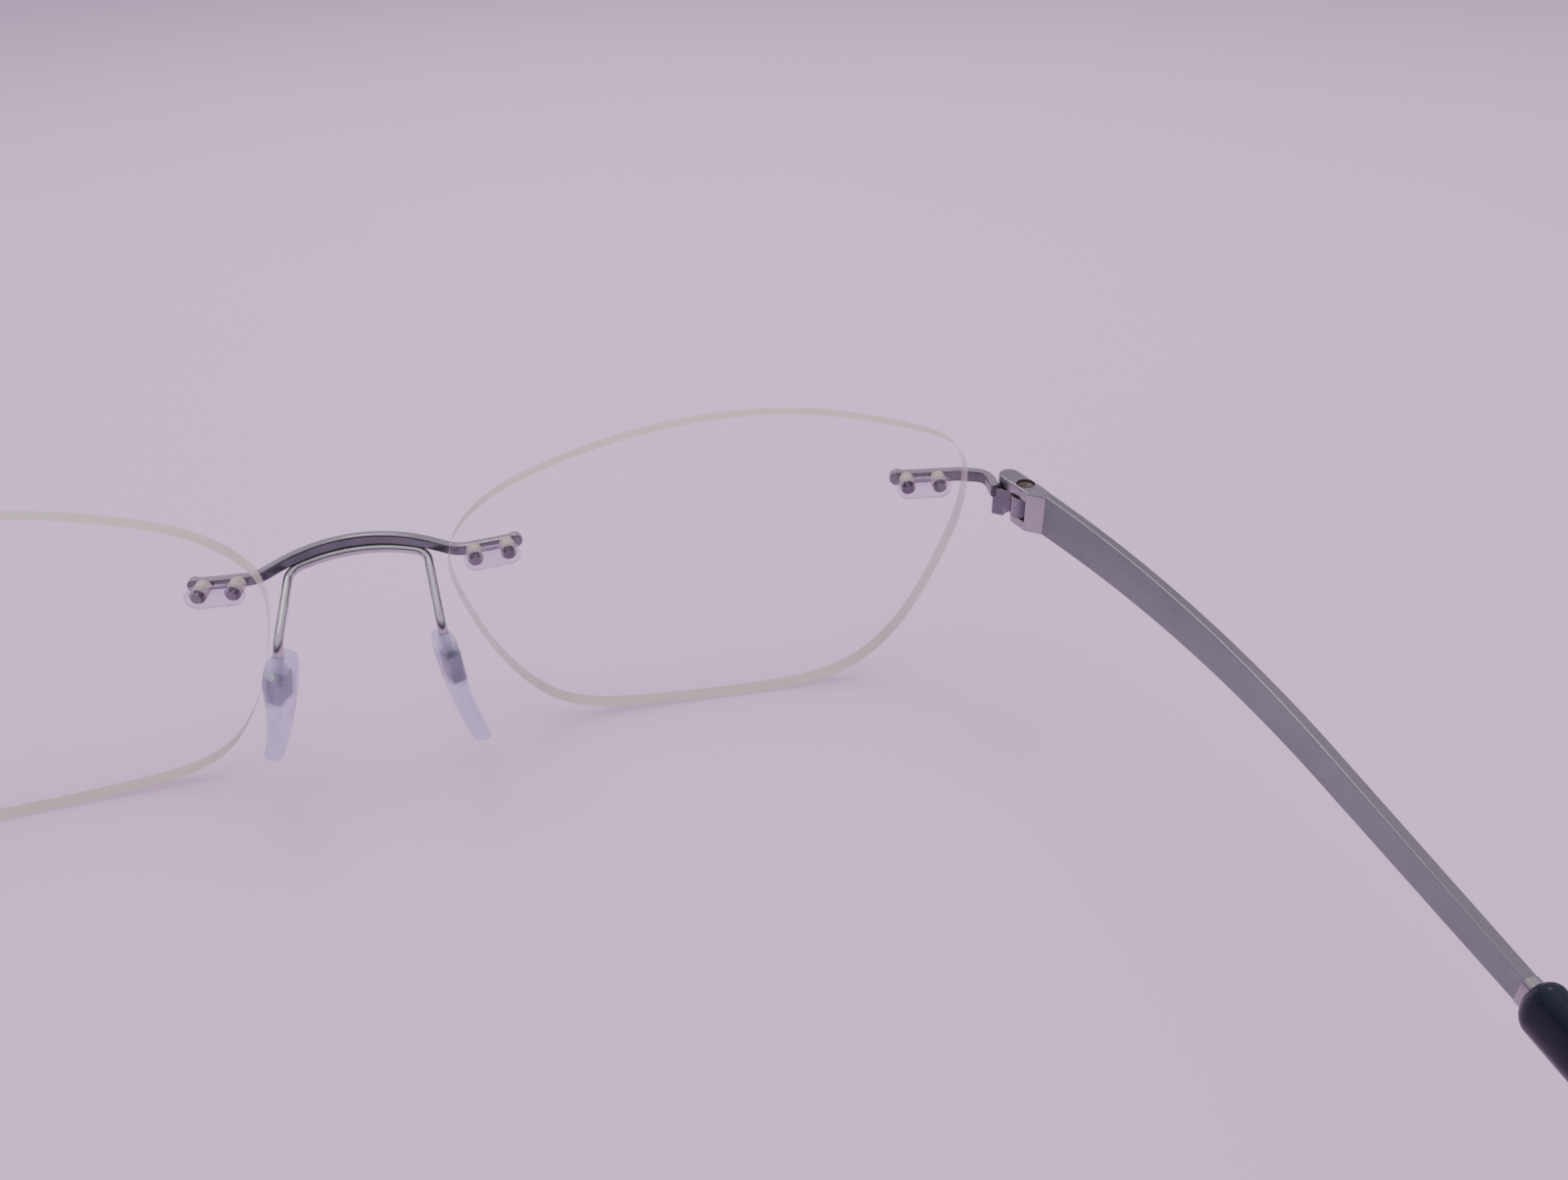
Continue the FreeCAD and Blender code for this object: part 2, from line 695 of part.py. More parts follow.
def fork_blank():
    """The hinge block before its slot is milled: X along the temple, Y outward."""
    half_width = size("fork_width") / 2
    half_blade = size("blade_thickness") / 2
    cheek_start = half_width - size("cheek_reach")
    cap_start = half_width - size("cap_reach")
    side = size("blade_offset")
    block = upright_block(
        [
            (cheek_start, -half_width),
            (size("fork_shank"), -half_width),
            (size("fork_length"), side - half_blade),
            (size("fork_length"), side + half_blade),
            (size("fork_shank"), half_width),
            (cheek_start, half_width),
        ],
        -half_fork,
        half_fork,
    )
    cheek_nose = Part.makeCylinder(half_width, 2 * half_fork, Vector(cheek_start, 0, -half_fork))
    cap = upright_block(
        [
            (cap_start, -half_width),
            (cheek_start, -half_width),
            (cheek_start, half_width),
            (cap_start, half_width),
        ],
        half_slot,
        half_fork,
    )
    cap_nose = Part.makeCylinder(half_width, half_fork - half_slot, Vector(cap_start, 0, half_slot))
    whole = block.fuse([cheek_nose, cap, cap_nose]).removeSplitter()

    def top_or_bottom(edge):
        return edge.BoundBox.ZLength < 1e-3 and abs(abs(edge.BoundBox.ZMax) - half_fork) < 1e-3

    return rounded(whole, size("metal_rounding"), top_or_bottom)


def make_fork():
    """The temple's hinge block: two cheeks round the eye, the top one reaching forward."""
    blank = solid("fork_blank", fork_blank())
    blank.Placement = fork_place
    slot_front = Vector(-2 * size("cap_reach"), -size("fork_width"), -half_slot)
    slot = box(
        "fork_slot",
        "2 * sizes.cap_reach + sizes.eye_diameter / 2 + sizes.eye_room",
        "2 * sizes.fork_width",
        "sizes.slot_height",
        fork_place * Placement(slot_front, Rotation()),
    )
    lower_bore = cylinder(
        "fork_lower_bore",
        "sizes.hinge_pin_diameter / 2",
        "sizes.fork_height",
        hinge_level(-size("fork_height")),
    )
    upper_bore = cylinder(
        "fork_upper_bore",
        "sizes.hinge_pin_diameter / 2 + sizes.pivot_gap",
        "sizes.fork_height",
        hinge_level(0),
    )
    head_room = cylinder(
        "fork_head_room",
        "sizes.pin_head_diameter / 2 + sizes.pivot_gap",
        "sizes.fork_height",
        hinge_level(pin_seat),
    )
    room = fuse("fork_room", slot, lower_bore, upper_bore, head_room)
    both_sides("hinge_fork", cut("hinge_fork_right", blank, room))


def make_hinge_pin():
    """A headed pin pressed into the bottom cheek, its dished head sunk in the top one."""
    shank = cylinder(
        "hinge_pin_shank",
        "sizes.hinge_pin_diameter / 2",
        "sizes.fork_height - sizes.pin_head_sink - sizes.pin_head_depth",
        hinge_level(-half_fork),
    )
    head = cylinder(
        "hinge_pin_head", "sizes.pin_head_diameter / 2", "sizes.pin_head_depth", hinge_level(pin_seat)
    )
    dish = doc.addObject("Part::Cone", "hinge_pin_dish")
    bind(
        dish,
        Radius1="sizes.pin_head_diameter / 8",
        Radius2="0.42 * sizes.pin_head_diameter",
        Height="sizes.pin_head_depth / 2",
    )
    dish.Placement = hinge_level(pin_seat + size("pin_head_depth") / 2)
    pin = cut("hinge_pin_right", fuse("hinge_pin_body", shank, head), dish)
    both_sides("hinge_pin", pin)


def blade_side_view(start, end):
    """A wide block whose top and bottom slope together from the hinge block to the tip."""
    length = start.y - end.y
    half_rear = size("blade_end_height") / 2
    top_slope = (half_fork - half_rear + size("blade_fall")) / length
    bottom_slope = (half_fork - half_rear - size("blade_fall")) / length
    front = start.y + length
    top = start.z + half_fork
    bottom = start.z - half_fork
    corners = [
        Vector(0, front, bottom - bottom_slope * length),
        Vector(0, front, top + top_slope * length),
        Vector(0, end.y, top - top_slope * length),
        Vector(0, end.y, bottom + bottom_slope * length),
    ]
    return Part.Face(Part.makePolygon(corners + corners[:1])).extrude(X_AXIS * 2 * end.x)


def make_blade():
    """A thin upright blade that narrows to the tip and runs on inside it as a wire."""
    start = fork_place.multVec(Vector(size("fork_length"), size("blade_offset"), 0))
    flare = math.radians(size("temple_flare"))
    curve = (temple_side - start.x) / (1 - math.cos(flare))
    # the flared direction meets the straight line here
    corner = Vector(temple_side, start.y - curve * math.tan(flare / 2), start.z)
    end = at(temple_side, blade_end, start.z)
    flat_path = rounded_path([start, corner, end], [0.999 * curve])
    rounding = size("metal_rounding")
    outline = rounded_rectangle(size("blade_thickness"), 2 * size("fork_height"), rounding)
    strip = sweep(flat_path, outline)
    side_view = blade_side_view(start, end)

    def along(edge):
        return edge.BoundBox.YLength > size("blade_thickness")

    tapered = rounded(strip.common(side_view), rounding, along)
    circle = Part.Wire(Part.Circle(ORIGIN, Z_AXIS, size("core_diameter") / 2).toShape())
    core = sweep(tip_path(-size("collar_length"), size("core_short")), circle, keep_upright=False)
    both_sides("temple_blade", solid("temple_blade_right", tapered.fuse(core)))


def tip_path(front, short):
    """The ear tip's middle line: straight, bent down, then down and inward to the floor.

    front moves its start back from the blade's end, short stops it before the tip's end.
    """
    start = at(temple_side, blade_end - front, tip_level)
    corner = at(temple_side, bend_corner, tip_level)
    down = math.sin(tip_turn)
    way = Vector(-down * math.sin(tip_lean), -math.cos(tip_turn), -down * math.cos(tip_lean))
    end = corner + way * (tip_fall - short)
    return rounded_path([start, corner, end], [size("tip_curve")])


def make_tip():
    """The collar and the soft sleeve over the wire."""
    half_thick = size("tip_thickness") / 2
    collar = size("collar_length")
    path = tip_path(size("tip_nose") + collar / 2, 0)
    bend_up = Vector(math.sin(tip_lean), 0, math.cos(tip_lean))
    tube = sweep(path, ellipse(half_thick, tip_half_height), bend_up, keep_upright=False)
    first = path.Edges[0]
    last = path.Edges[-1]
    far = last.valueAt(last.LastParameter)
    ahead = last.tangentAt(last.LastParameter)
    start = first.valueAt(first.FirstParameter)
    front_turn = Rotation(ORIGIN, -first.tangentAt(first.FirstParameter), bend_up, "YZX")
    front = ball(half_thick, size("tip_nose"), tip_half_height, Placement(start, front_turn))
    end_turn = Rotation(ORIGIN, -ahead, bend_up, "YZX")
    end = ball(half_thick, tip_half_height, tip_half_height, Placement(far, end_turn))
    ring_thick = size("blade_thickness") + 2 * size("collar_wall")
    ring_height = size("blade_end_height") + 2 * size("collar_wall")
    ring_outline = rounded_rectangle(ring_thick, ring_height, 0.45 * ring_thick)
    ring_outline.Placement = Placement(at(temple_side, blade_end, tip_level), Rotation(X_AXIS, 90))
    ring = solid("collar_blank", Part.Face(ring_outline).extrude(Y_AXIS * -collar))
    blade = doc.getObject("temple_blade_right")
    both_sides("tip_collar", cut("tip_collar_right", ring, blade))
    sleeve = solid("ear_tip_blank", tube.fuse([front, end]))
    both_sides("ear_tip", cut("ear_tip_right", sleeve, fuse("ear_tip_room", blade, ring)))


# ---------------------------------------------------------------- the whole

make_lens()
for mount_side, mount_frame in MOUNTS.items():
    make_bushing(mount_side, mount_frame)
make_pins("bridge", nasal_mount)
make_pins("end_piece", outer_mount)
make_pad_wire(make_bridge())
make_end_piece()
make_washers()
make_pad("right")
make_pad("left")
make_fork()
make_hinge_pin()
make_blade()
make_tip()
doc.recompute()

for obj in doc.Objects:
    if "Invalid" in obj.State or "Error" in obj.State:
        raise RuntimeError(f"{obj.Name} did not recompute: {obj.State}")
for obj in nodes:
    if obj.Shape.isNull() or not obj.Shape.isValid() or not obj.Shape.Solids:
        raise RuntimeError(f"{obj.Label} has no valid solid")

os.makedirs("parts", exist_ok=True)
for obj in nodes:
    obj.Shape.exportStep(os.path.join("parts", f"{obj.Label}.step"))
    bounds = obj.Shape.optimalBoundingBox(False)
    print(
        f"{obj.Label:24s} solids {len(obj.Shape.Solids)} volume {obj.Shape.Volume:9.3f} "
        f"x {bounds.XMin:7.2f} {bounds.XMax:7.2f} y {bounds.YMin:7.2f} {bounds.YMax:7.2f} "
        f"z {bounds.ZMin:6.2f} {bounds.ZMax:6.2f}"
    )
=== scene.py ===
import json
import math

import bmesh
import bpy
from mathutils import Matrix, Vector


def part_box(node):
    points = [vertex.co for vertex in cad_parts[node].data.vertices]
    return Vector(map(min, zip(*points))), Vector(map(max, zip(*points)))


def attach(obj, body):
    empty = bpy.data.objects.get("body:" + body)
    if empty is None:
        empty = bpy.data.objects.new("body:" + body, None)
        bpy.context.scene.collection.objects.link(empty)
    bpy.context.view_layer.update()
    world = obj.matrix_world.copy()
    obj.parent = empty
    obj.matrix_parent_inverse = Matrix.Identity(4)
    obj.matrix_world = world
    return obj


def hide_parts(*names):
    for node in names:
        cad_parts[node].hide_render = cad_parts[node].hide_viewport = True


# Rimless eyeglasses, open on a pale lilac sheet, seen from the wearer's side.
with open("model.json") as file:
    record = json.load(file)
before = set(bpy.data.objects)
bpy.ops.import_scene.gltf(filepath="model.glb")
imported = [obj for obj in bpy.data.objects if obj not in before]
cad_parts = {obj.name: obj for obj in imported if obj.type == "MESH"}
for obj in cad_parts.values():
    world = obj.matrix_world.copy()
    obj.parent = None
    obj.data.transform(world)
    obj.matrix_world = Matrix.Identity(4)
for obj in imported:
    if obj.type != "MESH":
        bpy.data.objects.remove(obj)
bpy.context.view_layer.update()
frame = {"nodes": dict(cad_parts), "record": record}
nodes = frame["nodes"]
joints = {joint["name"]: joint for joint in frame["record"]["behaviour"]["joints"]}
MM = 0.001

# The silicone nose pad: sizes about its pivot, and the channel for the wire's post.
PAD_SPLAY = 25.0
PAD_LENGTH = 14.3 * MM
PAD_TOP = 3.85 * MM
PAD_WIDTH = 5.1 * MM
PAD_TAIL = 1.6 * MM
PAD_THICKNESS = 1.8 * MM
PAD_OUTER = 0.66 * MM
PAD_CURVE = 42.0 * MM
PAD_GRID, PAD_QUICK_GRID = (60, 48), (30, 28)
PAD_SIDE_ROUNDING, PAD_FACE_ROUNDING = 0.85, 0.75
PAD_CREASE = 50.0
WIRE_RADIUS = 0.45 * MM
CHANNEL_ROOM = 0.15 * MM
CHANNEL_FOOT = -1.6 * MM
CHANNEL_TOP = PAD_TOP + 1.2 * MM
CHANNEL_SIDES = 40

# The camera: directions in degrees, lens and sensor in millimetres.
CAMERA_TURN, CAMERA_RISE, CAMERA_ROLL = 11.25, 34.07, -2.44
CAMERA_LENS, CAMERA_SENSOR = 27.0, 36.0
CAMERA_DISTANCE = 126.89 * MM
AIM_SIDE, AIM_HEIGHT = 41.97 * MM, 9.99 * MM
LENS_BULGE = 0.74 * MM

FLOOR_SIZE = 24.0


# ---------------------------------------------------------------- materials


def material(name):
    """An empty node material and a helper that links nodes into it."""
    mat = bpy.data.materials.new(name)
    mat.use_nodes = True
    tree = mat.node_tree
    tree.nodes.clear()

    def make(kind, links=None, **settings):
        made = tree.nodes.new(kind)
        for key, value in settings.items():
            setattr(made, key, value)
        for socket, source in (links or {}).items():
            if isinstance(source, bpy.types.NodeSocket):
                tree.links.new(source, made.inputs[socket])
            else:
                made.inputs[socket].default_value = source
        return made

    return mat, make


def finish_with(make, shader):
    make("ShaderNodeOutputMaterial", {"Surface": shader})


def noise(make, scale, detail=3.0, stretch=(1, 1, 1)):
    """Noise over the object's own space, one unit being a metre."""
    place = make("ShaderNodeTexCoord").outputs["Object"]
    spread = make("ShaderNodeMapping", {"Vector": place, "Scale": stretch}).outputs["Vector"]
    return make(
        "ShaderNodeTexNoise", {"Vector": spread, "Scale": scale, "Detail": detail}
    ).outputs["Fac"]


def between(make, factor, low, high, first=0.35, second=0.65):
    """A value or a colour that follows a factor."""
    if isinstance(low, tuple):
        part = make(
            "ShaderNodeMapRange", {"Value": factor, "From Min": first, "From Max": second}
        ).outputs["Result"]
        mix = make("ShaderNodeMix", data_type="RGBA")
        for socket, value in ((6, (*low, 1)), (7, (*high, 1))):
            mix.inputs[socket].default_value = value
        mix.id_data.links.new(part, mix.inputs[0])
        return mix.outputs[2]
    return make(
        "ShaderNodeMapRange",
        {"Value": factor, "From Min": first, "From Max": second, "To Min": low, "To Max": high},
    ).outputs["Result"]


def facing(make, axis):
    """How much the surface looks along one of the object's own axes."""
    normal = make("ShaderNodeTexCoord").outputs["Normal"]
    return make(
        "ShaderNodeVectorMath", {0: normal, 1: axis}, operation="DOT_PRODUCT"
    ).outputs["Value"]


def facing_either(make, axis):
    """How much the surface looks along an axis, one way or the other."""
    return make(
        "ShaderNodeMath", {0: facing(make, axis)}, operation="ABSOLUTE"
    ).outputs["Value"]


def bumped(make, height, distance, strength=0.5):
    return make(
        "ShaderNodeBump", {"Height": height, "Distance": distance, "Strength": strength}
    ).outputs["Normal"]


def metal(name, dark, light, rough=(0.16, 0.30), grain=14000, metallic=1.0):
    """Titanium with a fine brushed grain and slightly uneven polish."""
    mat, make = material(name)
    cloud = noise(make, 260)
    fine = noise(make, grain, 2.0, (1, 0.2, 1))
    shader = make(
        "ShaderNodeBsdfPrincipled",
        {
            "Base Color": between(make, cloud, dark, light),
            "Metallic": metallic,
            "Roughness": between(make, fine, *rough),
            "Normal": bumped(make, fine, 0.000002, 0.25),
        },
    ).outputs["BSDF"]
    finish_with(make, shader)
    return mat


def shade_painted_metal(name, dark, light, rough, axis):
    """Titanium with painted shade: darker on the faces that look along an axis, paler elsewhere,
    standing in for how the light falls on them.
    """
    mat, make = material(name)
    cloud = noise(make, 260)
    fine = noise(make, 14000, 2.0, (1, 0.2, 1))
    # painted shade mask: faces that look along the axis take the darker tone
    painted_shade_mask = between(make, facing(make, axis), 0.0, 1.0, 0.45, 0.85)
    mix = make("ShaderNodeMix", {0: painted_shade_mask}, data_type="RGBA")
    tones = (
        between(make, cloud, light, tuple(0.85 * part for part in light)),
        between(make, cloud, dark, tuple(1.35 * part for part in dark)),
    )
    for socket, tone in zip((6, 7), tones):
        mix.id_data.links.new(tone, mix.inputs[socket])
    shader = make(
        "ShaderNodeBsdfPrincipled",
        {
            "Base Color": mix.outputs[2],
            "Metallic": 1.0,
            "Roughness": between(make, fine, *rough),
            "Normal": bumped(make, fine, 0.000002, 0.25),
        },
    ).outputs["BSDF"]
    finish_with(make, shader)
    return mat


def lacquered_blade():
    """Satin grey lacquer on the flat sides, thinner and brighter on the top and bottom bevels."""
    mat, make = material("temple_grey_lacquer")
    bevel = between(make, facing_either(make, (0, 0, 1)), 0.0, 1.0, 0.25, 0.75)
    cloud = noise(make, 120, 4.0, (1, 0.3, 1))
    fine = noise(make, 5200, 2.0, (1, 0.08, 1))
    lacquer = make(
        "ShaderNodeBsdfPrincipled",
        {
            "Base Color": between(make, cloud, (0.178, 0.194, 0.206), (0.220, 0.238, 0.248)),
            "Metallic": 0.35,
            "Roughness": between(make, fine, 0.36, 0.50),
            "Normal": bumped(make, fine, 0.000005, 0.4),
        },
    ).outputs["BSDF"]
    polished = make(
        "ShaderNodeBsdfPrincipled",
        {
            "Base Color": between(make, cloud, (0.175, 0.162, 0.19), (0.215, 0.197, 0.232)),
            "Metallic": 0.9,
            "Roughness": 0.3,
        },
    ).outputs["BSDF"]
    finish_with(make, make("ShaderNodeMixShader", {0: bevel, 1: lacquer, 2: polished}).outputs[0])
    return mat


def lens_glass():
    """Clear polished faces and a frosted ground edge, told apart by the way the surface looks."""
    mat, make = material("lens_glass")
    edge = between(make, facing_either(make, (0, 1, 0)), 1.0, 0.0, 0.55, 0.75)
    gloss = make(
        "ShaderNodeBsdfGlossy", {"Color": (1, 1, 1, 1), "Roughness": 0.02}
    ).outputs["BSDF"]
    clear = make("ShaderNodeBsdfTransparent", {"Color": (0.992, 0.990, 0.994, 1)}).outputs["BSDF"]
    slant = make("ShaderNodeLayerWeight", {"Blend": 0.5}).outputs["Facing"]
    steep = make("ShaderNodeMath", {0: slant, 1: 5.0}, operation="POWER").outputs["Value"]
    sheen = make(
        "ShaderNodeMath", {0: steep, 1: 0.6, 2: 0.035}, operation="MULTIPLY_ADD"
    ).outputs["Value"]
    glass = make("ShaderNodeMixShader", {0: sheen, 1: clear, 2: gloss}).outputs[0]
    cloud = noise(make, 700)
    fine = noise(make, 9000, 2.0)
    painted_light_upward = facing(make, (0, 0, 1))
    # Painted light and shade: the ground edge is painted paler on its downward faces, for light
    # coming through the glass, and darker on its upward faces, against the bright light from
    # above; the downward faces are also made more see-through.
    ground = make(
        "ShaderNodeBsdfPrincipled",
        {
            "Base Color": between(make, painted_light_upward, (0.82, 0.71, 0.70), (0.40, 0.345, 0.31), 0.0, 0.7),
            "Roughness": between(make, cloud, 0.38, 0.55),
            "Normal": bumped(make, fine, 0.00001, 0.5),
        },
    ).outputs["BSDF"]
    through = make("ShaderNodeBsdfTransparent", {"Color": (0.86, 0.84, 0.86, 1)}).outputs["BSDF"]
    thin = between(make, painted_light_upward, 0.74, 0.14, -0.6, 0.6)
    frosted = make("ShaderNodeMixShader", {0: thin, 1: ground, 2: through}).outputs[0]
    finish_with(make, make("ShaderNodeMixShader", {0: edge, 1: glass, 2: frosted}).outputs[0])
    return mat


def clear_plastic(name, tint, deep, clarity=0.75, rough=(0.08, 0.2), ior=1.45, airy=0.6):
    """Clear moulded plastic or silicone that keeps a little body of its own."""
    mat, make = material(name)
    cloud = noise(make, 500)
    solid = make(
        "ShaderNodeBsdfPrincipled",
        {
            "Base Color": between(make, cloud, deep, tint),
            "Roughness": between(make, cloud, *rough),
            "IOR": ior,
            "Transmission Weight": clarity,
            "Normal": bumped(make, noise(make, 3000), 0.000004, 0.3),
        },
    ).outputs["BSDF"]
    clear = make("ShaderNodeBsdfTransparent", {"Color": (*tint, 1)}).outputs["BSDF"]
    slant = make("ShaderNodeLayerWeight", {"Blend": 0.5}).outputs["Facing"]
    veil = between(make, slant, airy + 0.1, airy - 0.3, 0.35, 0.95)
    finish_with(make, make("ShaderNodeMixShader", {0: veil, 1: solid, 2: clear}).outputs[0])
    return mat


def tip_plastic():
    """Glossy blue-black sleeve with faint moulding unevenness."""
    mat, make = material("ear_tip_navy")
    cloud = noise(make, 150)
    fine = noise(make, 2500)
    shader = make(
        "ShaderNodeBsdfPrincipled",
        {
            "Base Color": between(make, cloud, (0.0035, 0.006, 0.013), (0.006, 0.010, 0.021)),
            "Roughness": between(make, fine, 0.20, 0.30),
            "Specular IOR Level": 0.22,
            "Normal": bumped(make, fine, 0.000006, 0.35),
        },
    ).outputs["BSDF"]
    finish_with(make, shader)
    return mat


def sheet_paper():
    mat, make = material("lilac_sheet")
    cloud = noise(make, 3.0, 4.0)
    fine = noise(make, 900, 3.0)
    shader = make(
        "ShaderNodeBsdfPrincipled",
        {
            "Base Color": between(make, cloud, (0.565, 0.408, 0.590), (0.585, 0.424, 0.610)),
            "Roughness": 0.85,
            "Specular IOR Level": 0.2,
            "Normal": bumped(make, fine, 0.00002, 0.15),
        },
    ).outputs["BSDF"]
    finish_with(make, shader)
    return mat


def dress(mat, *names):
    for name in names:
        for slot in nodes[name].material_slots:
            slot.material = mat


def both(*pieces):
    return [f"{piece}_{side}" for piece in pieces for side in ("right", "left")]


# Painted shade: the bar and end pieces are darker on faces toward the wearer and downward, and the
# hinge forks are darker on their top faces.
SHADE_PAINTED_METALS = (
    # name, painted shade tone along the axis, tone elsewhere, roughness, axis, nodes
    (
        "titanium_bar", (0.125, 0.132, 0.135), (0.31, 0.285, 0.33), (0.2, 0.3), (0, -1, -0.25),
        ["bridge_bar", *both("end_piece")],
    ),
    (
        "titanium_hinge", (0.20, 0.183, 0.215), (0.40, 0.39, 0.41), (0.22, 0.3), (0, 0, 1),
        both("hinge_fork"),
    ),
)
METALS = (
    # name, darker tone, lighter tone, roughness, nodes
    ("titanium_wire", (0.46, 0.44, 0.475), (0.56, 0.54, 0.575), (0.16, 0.30), ["pad_wire"]),
    (
        "pin_titanium", (0.16, 0.155, 0.17), (0.26, 0.25, 0.27), (0.2, 0.4),
        both("bridge_pins", "end_piece_pins"),
    ),
    (
        "washer_bronze", (0.10, 0.085, 0.07), (0.15, 0.12, 0.10), (0.3, 0.5),
        both("hinge_washers"),
    ),
    (
        "insert_metal", (0.20, 0.21, 0.22), (0.42, 0.44, 0.46), (0.18, 0.4),
        both("pad_insert"),
    ),
    (
        "collar_silver", (0.30, 0.285, 0.31), (0.40, 0.38, 0.41), (0.15, 0.3),
        both("tip_collar"),
    ),
)
for title, painted_shade_tone, lit_tone, polish, axis, wearers in SHADE_PAINTED_METALS:
    dress(shade_painted_metal(title, painted_shade_tone, lit_tone, polish, axis), *wearers)
for title, dark_tone, light_tone, polish, wearers in METALS:
    dress(metal(title, dark_tone, light_tone, polish), *wearers)
pin_brown = metal(
    "pin_brown", (0.080, 0.060, 0.055), (0.130, 0.098, 0.088), (0.35, 0.6), 2500, 0.7
)
bushing_clear = clear_plastic(
    "bushing_clear", (0.91, 0.87, 0.94), (0.78, 0.72, 0.80), airy=0.72
)
silicone = clear_plastic(
    "pad_silicone", (0.88, 0.88, 0.97), (0.56, 0.58, 0.76), 0.7, (0.12, 0.28), 1.41, 0.55
)
dress(pin_brown, *both("hinge_pin"))
dress(lacquered_blade(), *both("temple_blade"))
dress(lens_glass(), *both("lens"))
dress(bushing_clear, *both("nasal_bushing", "outer_bushing"))
dress(tip_plastic(), *both("ear_tip"))


# ---------------------------------------------------------------- nose pads


def pad_axes(side):
    """A pad's pivot and its directions: to the front in its plane, to the nose, and along it."""
    joint = joints[f"pad_swivel_{side}"]
    along = Vector(joint["axis"]).normalized()
    mirror = 1 if side == "right" else -1
    splay = math.radians(PAD_SPLAY)
    front = Vector((-mirror * math.sin(splay), math.cos(splay), 0))
    front = (front - along * front.dot(along)).normalized()
    return Vector(joint["pos_m"]), front, along.cross(front) * mirror, along


def pad_middle(level):
    """How far the pad's mid-surface lies toward the nose from its pivot, at one level."""
    return PAD_THICKNESS / 2 - PAD_OUTER - level**2 / (2 * PAD_CURVE)


def pad_ring(share, around):
    """One level of the pad, from its top (0) to its tip (1): a rounded lens-shaped section."""
    level = PAD_TOP - PAD_LENGTH * share
    top_round, tip_round = PAD_WIDTH / 2, PAD_TAIL / 2
    from_top, from_tip = PAD_LENGTH * share, PAD_LENGTH * (1 - share)
    taper = max(0.0, from_top - top_round) / (PAD_LENGTH - top_round)
    half = top_round + (tip_round - top_round) * taper
    if from_top < top_round:
        half = math.sqrt(max(0.0, top_round**2 - (top_round - from_top) ** 2))
    if from_tip < tip_round:
        half = min(half, math.sqrt(max(0.0, tip_round**2 - (tip_round - from_tip) ** 2)))
    thick = PAD_THICKNESS / 2
    rim = min(from_top, from_tip)
    if rim < thick:
        thick *= math.sqrt(max(0.0, 1 - (1 - rim / thick) ** 2))
    ring = []
    for step in range(around):
        angle = math.tau * step / around
        cross, deep = math.cos(angle), math.sin(angle)
        side = math.copysign(abs(cross) ** PAD_SIDE_ROUNDING, cross) * half
        depth = math.copysign(abs(deep) ** PAD_FACE_ROUNDING, deep) * thick
        ring.append((side, pad_middle(level) + depth, level))
    return ring


def pad_blank(side):
    """The crowned silicone teardrop, bent along its length, before its channel is cut."""
    pivot, front, nose, along = pad_axes(side)
    levels, around = PAD_GRID
    mesh = bmesh.new()
    rings = []
    for row in range(1, levels):
        share = (1 - math.cos(math.pi * row / levels)) / 2
        places = [pivot + front * x + nose * y + along * z for x, y, z in pad_ring(share, around)]
        rings.append([mesh.verts.new(place) for place in places])
    for upper, lower in zip(rings, rings[1:]):
        for step in range(around):
            after = (step + 1) % around
            mesh.faces.new((upper[step], upper[after], lower[after], lower[step]))
    for ring, level in ((rings[0], PAD_TOP), (rings[-1], PAD_TOP - PAD_LENGTH)):
        pole = mesh.verts.new(pivot + nose * pad_middle(level) + along * level)
        for step in range(around):
            mesh.faces.new((ring[step], ring[(step + 1) % around], pole))
    bmesh.ops.recalc_face_normals(mesh, faces=mesh.faces)
    blank = bpy.data.meshes.new(f"silicone_pad_{side}")
    mesh.to_mesh(blank)
    mesh.free()
    pad = bpy.data.objects.new(f"silicone_pad_{side}", blank)
    bpy.context.scene.collection.objects.link(pad)
    return pad


def cut_channel(pad, side):
    """Cut the round channel that the wire's post turns in."""
    pivot, _, _, along = pad_axes(side)
    bpy.ops.mesh.primitive_cylinder_add(
        vertices=CHANNEL_SIDES,
        radius=WIRE_RADIUS + CHANNEL_ROOM,
        depth=CHANNEL_TOP - CHANNEL_FOOT,
    )
    tool = bpy.context.object
    turn = Vector((0, 0, 1)).rotation_difference(along).to_matrix().to_4x4()
    middle = pivot + along * (CHANNEL_FOOT + CHANNEL_TOP) / 2
    tool.matrix_world = Matrix.Translation(middle) @ turn
    hole = pad.modifiers.new("channel", "BOOLEAN")
    hole.operation = "DIFFERENCE"
    hole.solver = "EXACT"
    hole.object = tool
    graph = bpy.context.evaluated_depsgraph_get()
    cut_mesh = bpy.data.meshes.new_from_object(pad.evaluated_get(graph))
    pad.modifiers.clear()
    pad.data = cut_mesh
    bpy.data.objects.remove(tool, do_unlink=True)


def nose_pad(side):
    """A silicone pad that rides on its own body and takes the plain solid's place."""
    pad = pad_blank(side)
    cut_channel(pad, side)
    pad.data.materials.clear()
    pad.data.materials.append(silicone)
    pad.data.shade_smooth()
    pad.data.set_sharp_from_angle(angle=math.radians(PAD_CREASE))
    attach(pad, f"pad_{side}")
    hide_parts(f"nose_pad_{side}")


for side_name in ("right", "left"):
    nose_pad(side_name)


# ---------------------------------------------------------------- stage, lights and camera


def floor_sheet():
    bpy.ops.mesh.primitive_plane_add(size=FLOOR_SIZE, location=(0, 0, 0))
    floor = bpy.context.object
    floor.name = "floor"
    floor.data.materials.append(sheet_paper())


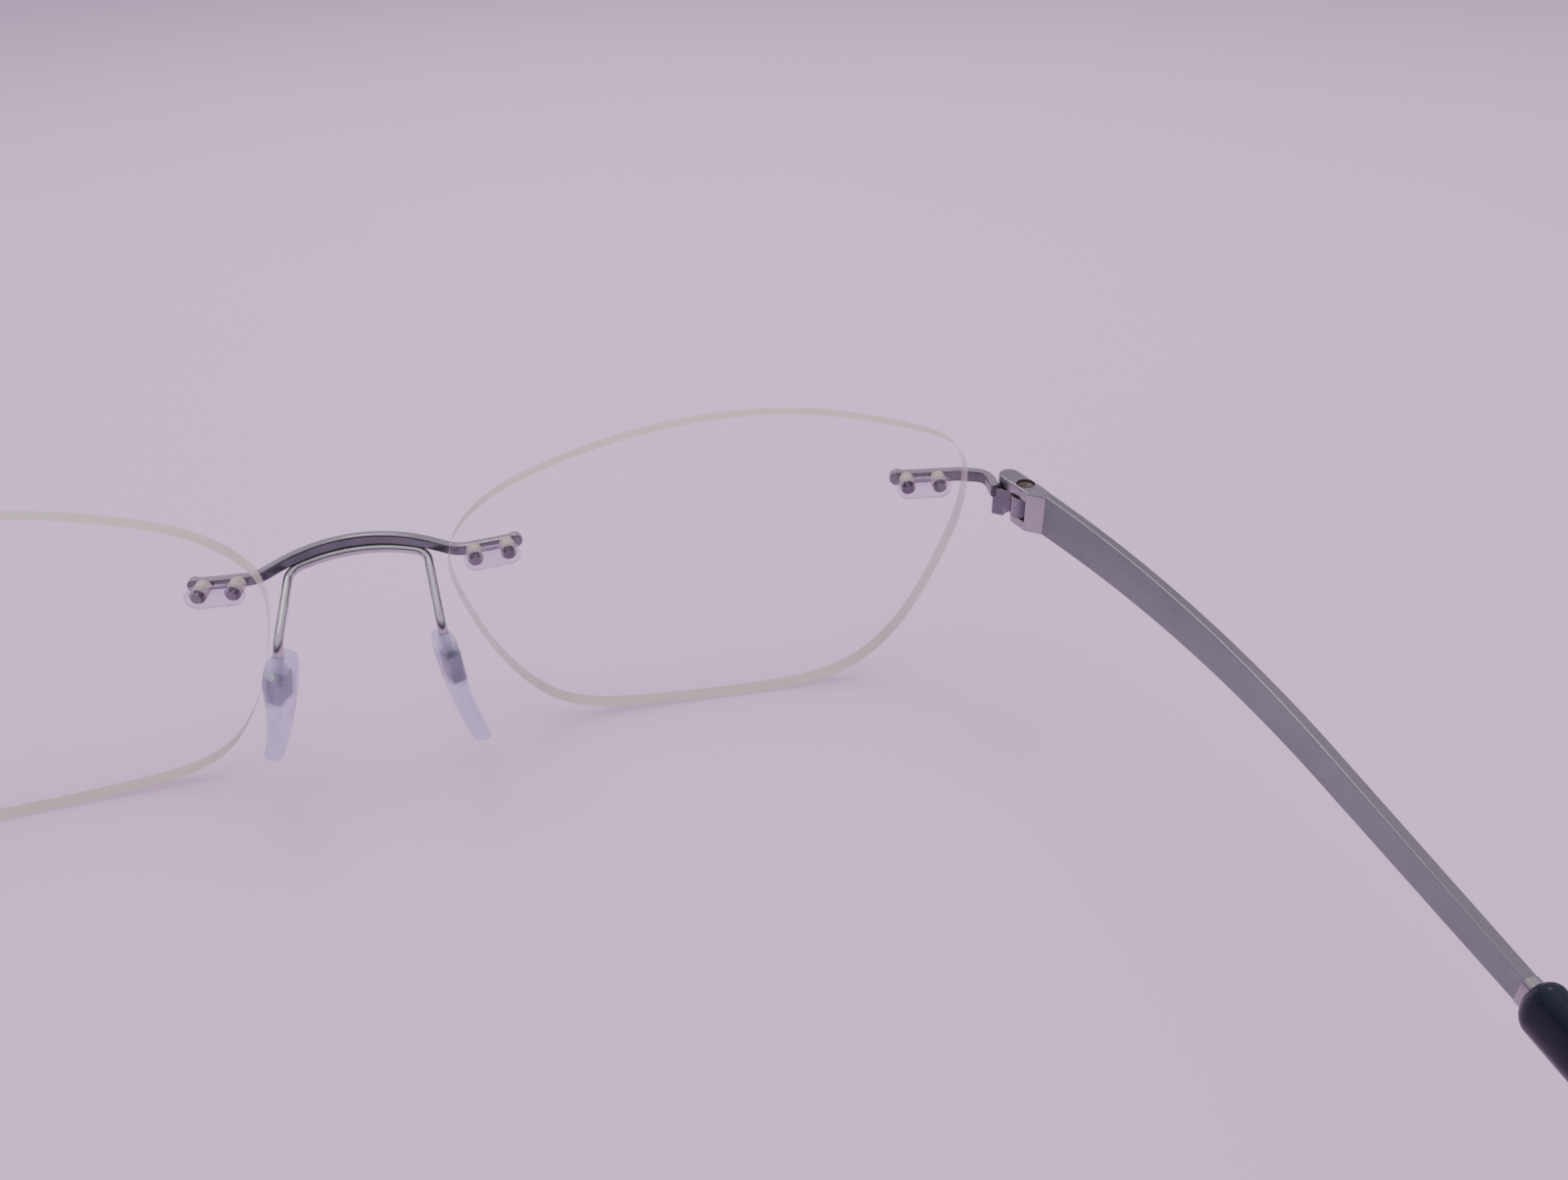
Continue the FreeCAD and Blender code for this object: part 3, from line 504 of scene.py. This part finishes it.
def camera():
    """The wearer's side: a little to the right of the middle, looking down and forward."""
    turn, rise, roll = map(math.radians, (CAMERA_TURN, CAMERA_RISE, CAMERA_ROLL))
    lens_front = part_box("lens_right")[1].y - LENS_BULGE
    aim = Vector((AIM_SIDE, lens_front, AIM_HEIGHT))
    level = Vector((math.sin(turn), math.cos(turn), 0))
    ahead = level * math.cos(rise) - Vector((0, 0, math.sin(rise)))
    right = Vector((math.cos(turn), -math.sin(turn), 0))
    up = right.cross(ahead)
    side = right * math.cos(roll) + up * math.sin(roll)
    top = up * math.cos(roll) - right * math.sin(roll)
    data = bpy.data.cameras.new("camera")
    data.lens = CAMERA_LENS
    data.sensor_width = CAMERA_SENSOR
    data.clip_start = 0.005
    cam = bpy.data.objects.new("camera", data)
    bpy.context.scene.collection.objects.link(cam)
    pose = Matrix((side, top, -ahead)).transposed().to_4x4()
    pose.translation = aim - ahead * CAMERA_DISTANCE
    cam.matrix_world = pose
    bpy.context.scene.camera = cam


def area_light(name, spot, aim, size, power, mirrored):
    """A square lamp; one that is not mirrored lights things without showing in the polish."""
    data = bpy.data.lights.new(name, "AREA")
    data.size = size
    data.energy = power
    lamp = bpy.data.objects.new(name, data)
    lamp.visible_glossy = mirrored
    lamp.location = spot
    lamp.rotation_euler = (Vector(aim) - Vector(spot)).to_track_quat("-Z", "Y").to_euler()
    bpy.context.scene.collection.objects.link(lamp)


def light_tent():
    """A soft white tent: bright overhead, darker low down and behind the wearer."""
    world = bpy.data.worlds.new("world")
    bpy.context.scene.world = world
    world.use_nodes = True
    tree = world.node_tree
    way = tree.nodes.new("ShaderNodeTexCoord").outputs["Generated"]
    height = tree.nodes.new("ShaderNodeVectorMath")
    height.operation = "DOT_PRODUCT"
    height.inputs[1].default_value = (0.0, 0.30, 0.95)
    tree.links.new(way, height.inputs[0])
    ramp = tree.nodes.new("ShaderNodeValToRGB")
    ramp.color_ramp.elements[0].position = 0.05
    ramp.color_ramp.elements[0].color = (0.10, 0.09, 0.11, 1)
    ramp.color_ramp.elements[1].position = 0.62
    ramp.color_ramp.elements[1].color = (0.97, 0.87, 0.98, 1)
    tree.links.new(height.outputs["Value"], ramp.inputs[0])
    back = tree.nodes["Background"]
    tree.links.new(ramp.outputs[0], back.inputs["Color"])
    back.inputs["Strength"].default_value = 1.0


floor_sheet()
camera()
light_tent()
area_light("overhead", (0.05, 0.12, 0.5), (0.02, 0.08, 0), 0.6, 3.0, False)
area_light("edge", (-0.05, 0.40, 0.5), (0, 0.05, 0), 0.16, 0.5, True)
